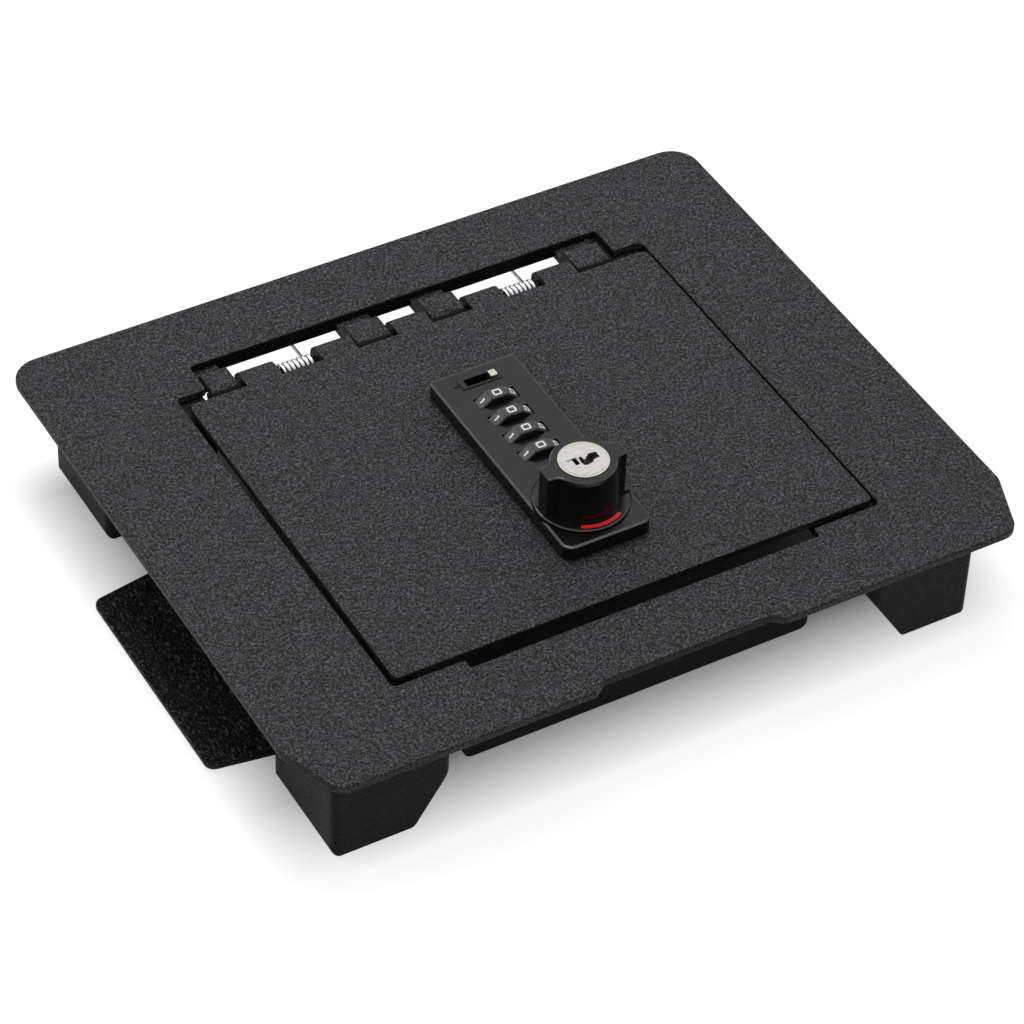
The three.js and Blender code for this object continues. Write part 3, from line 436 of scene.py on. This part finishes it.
# %% [markdown]
# ## Paint
# The digits are filled with white paint, and a red mark is inlaid in the knob's skirt. Paint
# this thin follows the surface below it, so it gets only a faint unevenness.

# %% Paint
PAINT_SCALE = 900.0
PAINT_ROUGHNESS = (0.37, 0.53)


def thin_paint(name, dark, light):
    finish = Finish(name)
    unevenness = noise(finish, place(finish), PAINT_SCALE)
    return finish.set(
        Base_Color=blend_colours(finish, unevenness, dark, light),
        Roughness=from_noise(finish, unevenness, *PAINT_ROUGHNESS))


print("paint uneven over about", round(1 / (PAINT_SCALE * MM), 2), "mm")

# %% [markdown]
# ## One finish for each slot
# The imported record says which slot each CAD piece takes its finish from, so one loop dresses
# the whole frame, and a new piece in the CAD model is dressed without a new line here. Two
# kinds of piece then get a finish of their own: the knob, whose painted edge highlight is
# fainter than the housing's, and the dials, because each has its facets round its own axis.

# %% Finishes for the slots
COAT_COLOURS = ((0.0015, 0.0016, 0.0018), (0.108, 0.111, 0.119))
SHADED_COLOURS = ((0.0008, 0.0008, 0.0008), (0.17, 0.17, 0.175))
FOOT_COLOURS = ((0.0015, 0.0015, 0.0015), (0.036, 0.036, 0.036))
LOCK_COLOURS = ((0.0016, 0.0016, 0.0018), (0.0028, 0.0028, 0.0032))
# Colours of the painted edge highlight on the housing and on the knob.
HOUSING_HIGHLIGHT = (0.16, 0.16, 0.165)
KNOB_HIGHLIGHT = (0.04, 0.04, 0.042)
DIAL_COLOURS = ((0.002, 0.002, 0.002), (0.037, 0.038, 0.042))
STEEL_COLOURS = ((0.6, 0.6, 0.6), (0.82, 0.82, 0.82))
NICKEL_COLOURS = ((0.52, 0.505, 0.47), (0.62, 0.6, 0.56))
RED_COLOURS = ((0.66, 0.006, 0.01), (0.86, 0.012, 0.018))
ALONG_Z = (1, 1, 0.2)
ALONG_X = (0.2, 1, 1)

finishes = {
    "textured_coat": wrinkled_coat("wrinkled_coat", *COAT_COLOURS, lift=0.05),
    "dark_coat": wrinkled_coat(
        "dark_coat", *SHADED_COLOURS, ridge_scale=760.0, depth=0.2 * MM, shine=0.08, lit=0.55,
        stretch=(1, 0.35, 1)),
    "foot_moulding": wrinkled_coat(
        "foot_moulding", *FOOT_COLOURS, ridge_scale=560.0, shine=0.1),
    "lock_plastic": satin_plastic("lock_plastic", *LOCK_COLOURS, HOUSING_HIGHLIGHT),
    "bright_steel": plated_metal("bright_steel", *STEEL_COLOURS, 0.26, ALONG_Z),
    "nickel": plated_metal("nickel", *NICKEL_COLOURS, 0.24, ALONG_X),
    "red_mark": thin_paint("red_mark", *RED_COLOURS),
}
slot_of = {part["node"]: part["material_slot"] for part in frame["record"]["subparts"]}
for name, node in nodes.items():
    node.data.materials.clear()
    node.data.materials.append(finishes[slot_of[name]])
nodes["knob"].data.materials[0] = satin_plastic("knob_plastic", *LOCK_COLOURS, KNOB_HIGHLIGHT)
for i, axis in enumerate(dial_axes):
    dial = nodes[f"dial_{i + 1}"]
    dial.data.materials[0] = dial_plastic(f"dial_plastic_{i + 1}", axis, *DIAL_COLOURS)
print("dressed", len(slot_of), "pieces in", len(finishes), "finishes")

# %% [markdown]
# ## Making a mesh piece
# New pieces could be built with Blender's edit operators, but those depend on what is selected
# at the time. Plain lists of points and faces don't. One helper links the mesh and gives it its
# finish. Where a body carries the piece, the caller then names that body, so that the piece
# isn't left behind when the door opens.

# %% Mesh pieces
def add_mesh(name, points, faces, material, slot, smooth=False):
    mesh = bpy.data.meshes.new(name)
    mesh.from_pydata([tuple(p) for p in points], [], faces)
    mesh.update()
    mesh.materials.append(material)
    if smooth:
        mesh.polygons.foreach_set("use_smooth", [True] * len(mesh.polygons))
    piece = bpy.data.objects.new(name, mesh)
    bpy.context.scene.collection.objects.link(piece)
    return piece


print("mesh helper ready")

# %% [markdown]
# ## Digits on the dials
# The digits are squarish strokes of even width. A stroke is a flat ribbon along a line with
# rounded corners. It could be a text object, but a plain stroke gives the wide, square zero of
# these dials, and the same ten strokes serve all four dials. A digit is a list of points and
# whether its line is closed, and the letters stand for its left, right, top, bottom and middle.

# %% Strokes of the digits
STROKE = 0.68 * MM
DIGIT_HEIGHT = 3.4 * MM
DIGIT_WIDTH = 3.0 * MM
DIGIT_LIFT = 0.03 * MM
CORNER, CORNER_STEPS = 0.16, 4
DIGIT_COLOURS = ((0.66, 0.66, 0.66), (0.86, 0.86, 0.86))
L, R, T, B, M = -0.42, 0.42, 0.42, -0.42, 0.02
DIGITS = [
    ([(L, B), (R, B), (R, T), (L, T)], True),
    ([(-0.18, 0.2), (0.04, 0.34), (0.04, -0.32)], False),
    ([(L, 0.22), (L, T), (R, T), (R, M), (L, -0.2), (L, B), (R, B)], False),
    ([(L, T), (R, T), (R, M), (-0.1, M), (R, M), (R, B), (L, B)], False),
    ([(0.18, B), (0.18, T), (L, -0.14), (R, -0.14)], False),
    ([(R, T), (L, T), (L, 0.06), (R, 0.06), (R, B), (L, B)], False),
    ([(0.3, T), (L, T), (L, B), (R, B), (R, M), (L, M)], False),
    ([(L, T), (R, T), (-0.1, B)], False),
    ([(L, M), (L, T), (R, T), (R, B), (L, B), (L, M), (R, M)], False),
    ([(R, -0.12), (L, -0.12), (L, T), (R, T), (R, B)], False),
]


def soften(line, closed):
    """The line with each corner cut off in a short curve."""
    points = [Vector(p) for p in line]
    count = len(points)
    inner = range(count) if closed else range(1, count - 1)
    soft = [] if closed else [points[0]]
    for i in inner:
        here, before, after = points[i], points[i - 1], points[(i + 1) % count]
        start = here + (before - here).normalized() * min(CORNER, (before - here).length / 2)
        end = here + (after - here).normalized() * min(CORNER, (after - here).length / 2)
        for k in range(CORNER_STEPS + 1):
            t = k / CORNER_STEPS
            soft.append(start * (1 - t) ** 2 + here * (2 * t * (1 - t)) + end * t ** 2)
    return soft if closed else soft + [points[-1]]


print(len(DIGITS), "digits")

# %% [markdown]
# A ribbon needs a left and a right edge. Each edge point lies half a stroke to the side of the
# line, square to the mean of the two directions that meet there. The ribbon is then laid just
# above the facet of its digit.

# %% Ribbons round the dials
def ribbon(line, closed, width):
    """Left and right edge points of a flat stroke."""
    count = len(line)
    edges = []
    for i, here in enumerate(line):
        before = line[i - 1] if closed or i > 0 else here
        after = line[(i + 1) % count] if closed or i < count - 1 else here
        along = (after - before).normalized()
        side = Vector((-along.y, along.x)) * (width / 2)
        edges.append((here + side, here - side))
    return edges


def add_digits(index, axis, low, high):
    points, faces = [], []
    middle_y = (low + high) / 2
    for digit, (line, closed) in enumerate(DIGITS):
        turn = Matrix.Rotation(-digit * FACET_TURN, 3, "Y")
        scaled = [Vector((p[0] * DIGIT_WIDTH, p[1] * DIGIT_HEIGHT)) for p in soften(line, closed)]
        edges = ribbon(scaled, closed, STROKE)
        first = len(points)
        for pair in edges:
            for p in pair:
                on_facet = turn @ Vector((p.y, 0, facet_height + DIGIT_LIFT))
                points.append(Vector((axis.x, middle_y - p.x, axis.z)) + on_facet)
        for i in range(len(edges) if closed else len(edges) - 1):
            a, b = first + 2 * i, first + 2 * ((i + 1) % len(edges))
            faces.append((a, a + 1, b + 1, b))
    piece = add_mesh(f"dial_{index}_digits", points, faces, digit_paint, "lock_plastic")
    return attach(piece, f"dial_{index}")


RIM_WIDTH = 5.5 * MM
digit_paint = thin_paint("digit_paint", *DIGIT_COLOURS)
for i, axis in enumerate(dial_axes):
    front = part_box(f"dial_{i + 1}")[0].y
    add_digits(i + 1, axis, front, front + RIM_WIDTH)
print("digits on", DIAL_COUNT, "dials")

# %% [markdown]
# ## Lip of the key core
# The core needs a gap round it to turn, and from above that gap is a black ring. A real core
# has a thin lip that hides the gap. The CAD core keeps its whole gap, so that it turns freely,
# and a flat ring that turns with it stands in for the lip.

# %% Lip
LIP = 0.27 * MM
LIP_OVERLAP = 0.1 * MM
LIP_DEPTH = 0.12 * MM
LIP_THICKNESS = 0.4 * MM
LIP_SIDES = 96


def thin_ring(centre, inner, outer, thickness, sides):
    """A ring whose top face lies at the centre's height."""
    section = [(inner, 0), (outer, 0), (outer, -thickness), (inner, -thickness)]
    corners = len(section)
    points, faces = [], []
    for k in range(sides):
        angle = 2 * math.pi * k / sides
        along = Vector((math.cos(angle), math.sin(angle), 0))
        points += [centre + along * reach + Vector((0, 0, drop)) for reach, drop in section]
        here, after = corners * k, corners * ((k + 1) % sides)
        for corner in range(corners):
            following = (corner + 1) % corners
            faces.append((here + corner, here + following, after + following, after + corner))
    return points, faces


low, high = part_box("key_core")
core_radius = (high.x - low.x) / 2
core_middle = Vector(((low.x + high.x) / 2, (low.y + high.y) / 2, high.z - LIP_DEPTH))
lip_shape = thin_ring(
    core_middle, core_radius - LIP_OVERLAP, core_radius + LIP, LIP_THICKNESS, LIP_SIDES)
lip = add_mesh("key_core_lip", *lip_shape, finishes["nickel"], "nickel")
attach(lip, "key_core")
print("lip round a core of radius", round(core_radius, 5))

# %% [markdown]
# ## Torsion springs
# Each spring is one length of round wire: a leg under the door, turns round the pin and a leg
# under the hinge leaf. The CAD wire is coarse, which keeps the model light, so a finer tube
# replaces it. The two legs belong to different bodies, and the turns between them wind as the
# door opens. The wire could be a curve with a round bevel. It is a mesh of many rings.

# %% Path of the wire
WIRE = 1.5 * MM
COIL_RADIUS = 3.05 * MM
COIL_PITCH = 1.95 * MM
STEPS_PER_TURN = 28
WIRE_SIDES = 12


def leaving_angle(tip, side):
    """The angle at which a straight leg to a tip leaves the coil."""
    away = Vector((tip.y - hinge.y, tip.z - hinge.z))
    return math.atan2(away.y, away.x) + side * math.acos(COIL_RADIUS / away.length)


def wire_path(low, high):
    """Centre line of a spring that fills the box between two corners."""
    x_start, x_end = low.x + WIRE / 2, high.x - WIRE / 2
    door_tip = Vector((x_start, low.y, door_leg_z))
    leaf_tip = Vector((x_end, high.y, low.z + WIRE / 2))
    first = leaving_angle(door_tip, 1)
    turns = (x_end - x_start) / COIL_PITCH
    last = first + 2 * math.pi * turns
    steps = round(turns * STEPS_PER_TURN)
    path = [door_tip]
    for i in range(steps + 1):
        share = i / steps
        angle = first + (last - first) * share
        path.append(Vector((
            x_start + (x_end - x_start) * share,
            hinge.y + COIL_RADIUS * math.cos(angle),
            hinge.z + COIL_RADIUS * math.sin(angle))))
    return path + [leaf_tip]


door_leg_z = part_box("door_panel")[0].z
print("hinge at", [round(v, 4) for v in hinge])

# %% [markdown]
# A wire is a ring of points swept along its path. Each ring lies square to the path, and the
# ring's own up direction is carried along the path, so that the tube doesn't twist.

# %% Springs
def tube(path, radius, sides):
    """Points and faces of a closed round tube along a path."""
    points, faces = [], []
    up = Vector((1, 0, 0))
    for i, here in enumerate(path):
        along = (path[min(i + 1, len(path) - 1)] - path[max(i - 1, 0)]).normalized()
        up = (up - along * up.dot(along)).normalized()
        side = along.cross(up)
        for k in range(sides):
            turn = 2 * math.pi * k / sides
            points.append(here + (up * math.cos(turn) + side * math.sin(turn)) * radius)
    for i in range(len(path) - 1):
        for k in range(sides):
            a, b = i * sides + k, i * sides + (k + 1) % sides
            faces.append((a, b, b + sides, a + sides))
    last = (len(path) - 1) * sides
    faces.append(tuple(reversed(range(sides))))
    faces.append(tuple(range(last, last + sides)))
    return points, faces


for side in ("left", "right"):
    node = f"torsion_spring_{side}"
    low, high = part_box(node)
    path = wire_path(low, high)
    wire = add_mesh(f"spring_wire_{side}", *tube(path, WIRE / 2, WIRE_SIDES),
                    finishes["bright_steel"], "bright_steel", smooth=True)
    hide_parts(node)
    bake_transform(wire)
    print(node, "path of", len(path), "points")

# %% [markdown]
# ## Floor and background
# The floor is grey and catches the shadow. Lamps strong enough to make it white would wash out
# the black finishes. So it also glows, but only to the camera and in reflections, just enough
# to reach white where no shadow falls. That glow is seen but lights nothing. Under the plate,
# where the floor is in the dark, a painted shadow is added: the glow fades out and the grey is
# darkened.

# %% Floor and background
FLOOR_SIZE = 6.0
GLOW = 0.85
FLOOR_TONE = 0.28
BOUNCE_TONE = 0.3
UNDER_TONE = 0.5
SIDE_MARGIN = 10 * MM
FRONT_MARGIN = -1 * MM
SHADE_FADE = 42 * MM
REAR_MARGIN = -4 * MM
REAR_FADE = 20 * MM
AMBIENT = 0.42


def seen(graph):
    """1 for a ray from the camera, a mirror or glass, and 0 for the light that a surface gets."""
    camera_ray = graph.node("LightPath", out="Is Camera Ray")
    outputs = camera_ray.socket.node.outputs
    glossy_ray = Value(graph, outputs["Is Glossy Ray"])
    glass_ray = Value(graph, outputs["Is Transmission Ray"])
    return graph.larger(graph.larger(camera_ray, glossy_ray), glass_ray)


def rising(graph, spot, start, fade):
    """0 before a place on one axis, and 1 from a fade's length past it."""
    return levels(graph, spot, start, start + fade)


def paper_floor():
    paper = Finish("paper")
    x, y, _ = paper.parts(paper.node("TexCoord", out="Object"))
    low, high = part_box("top_plate")
    across = rising(paper, x, low.x - SIDE_MARGIN, SHADE_FADE)
    across = across * (1 - rising(paper, x, high.x + SIDE_MARGIN - SHADE_FADE, SHADE_FADE))
    along = rising(paper, y, low.y - FRONT_MARGIN, SHADE_FADE)
    along = along * (1 - rising(paper, y, high.y + REAR_MARGIN - REAR_FADE, REAR_FADE))
    under = across * along
    tone = BOUNCE_TONE + (FLOOR_TONE - BOUNCE_TONE) * seen(paper)
    # Painted shadow under the plate: the grey darkens and the glow fades out there.
    matte = paper.node("BsdfDiffuse", inputs={"Color": tone * (1 - (1 - UNDER_TONE) * under)})
    glow = paper.node("Emission", inputs={"Strength": GLOW * seen(paper) * (1 - under)})
    surface = paper.node("AddShader", inputs={0: matte, 1: glow})
    paper.feed(paper.tree.nodes["Material Output"].inputs["Surface"], surface)
    return paper.material


bpy.ops.mesh.primitive_plane_add(size=FLOOR_SIZE, location=(0, 0, 0))
floor = bpy.context.object
floor.name = "floor"
floor.data.materials.append(paper_floor())
world = bpy.data.worlds.new("studio")
world.use_nodes = True
bpy.context.scene.world = world
room = Graph(world.node_tree)
level = AMBIENT + (1 - AMBIENT) * seen(room)
room.feed(world.node_tree.nodes["Background"].inputs["Strength"], level)
room.feed(world.node_tree.nodes["Background"].inputs["Color"], (1, 1, 1, 1))
print("floor", FLOOR_SIZE, "m wide, ambient light", AMBIENT)

# %% [markdown]
# ## Lamps
# One wide lamp hangs over the back of the object, so that soft shadows fall to the front, and
# a weaker one stands behind it on the left. Small lamps would draw hard shadows and bright
# spots. Wide ones give soft edges to the shadows and broad, calm reflections.

# %% Lamps
def add_lamp(name, spot, power, width):
    lamp = bpy.data.lights.new(name, "AREA")
    lamp.energy = power
    lamp.shape = "DISK"
    lamp.size = width
    lamp_object = bpy.data.objects.new(name, lamp)
    bpy.context.scene.collection.objects.link(lamp_object)
    lamp_object.location = spot
    lamp_object.rotation_euler = (-Vector(spot)).to_track_quat("-Z", "Y").to_euler()


add_lamp("overhead", spot=(0.1, 0.3, 1.4), power=10.0, width=0.9)
add_lamp("left_side", spot=(-0.9, 0.8, 0.55), power=3.5, width=0.7)
bpy.context.scene.view_settings.view_transform = "Standard"
print("two lamps")

# %% [markdown]
# ## Camera
# The camera stands where the photograph was taken from: ahead of the safe, to its left and
# above it, with a long lens that keeps far edges nearly parallel. Set by eye, no edge would
# quite line up with the photograph. So its three axes were found from the plate's own edges,
# which are straight lines that meet at right angles.

# %% Camera
CAMERA_PLACE = (-0.57245, -0.9548, 1.047)
CAMERA_RIGHT = (0.86989, -0.49235, 0.02981)
CAMERA_DOWN = (-0.31618, -0.60298, -0.73243)
CAMERA_FORWARD = (0.37858, 0.62770, -0.68019)
SENSOR_WIDTH_MM = 36.0
FOCAL_LENGTH_MM = 142.9
camera_data = bpy.data.cameras.new("camera")
camera_data.sensor_width = SENSOR_WIDTH_MM
camera_data.lens = FOCAL_LENGTH_MM
camera = bpy.data.objects.new("camera", camera_data)
bpy.context.scene.collection.objects.link(camera)
turn = Matrix([CAMERA_RIGHT, [-v for v in CAMERA_DOWN], [-v for v in CAMERA_FORWARD]]).transposed()
camera.matrix_world = Matrix.Translation(CAMERA_PLACE) @ turn.to_4x4()
bpy.context.scene.camera = camera
print("camera at", CAMERA_PLACE)

# %% [markdown]
# ## End of the dressing
# The new pieces and finishes must not change the object's size.

# %% End
print("scene dressed")
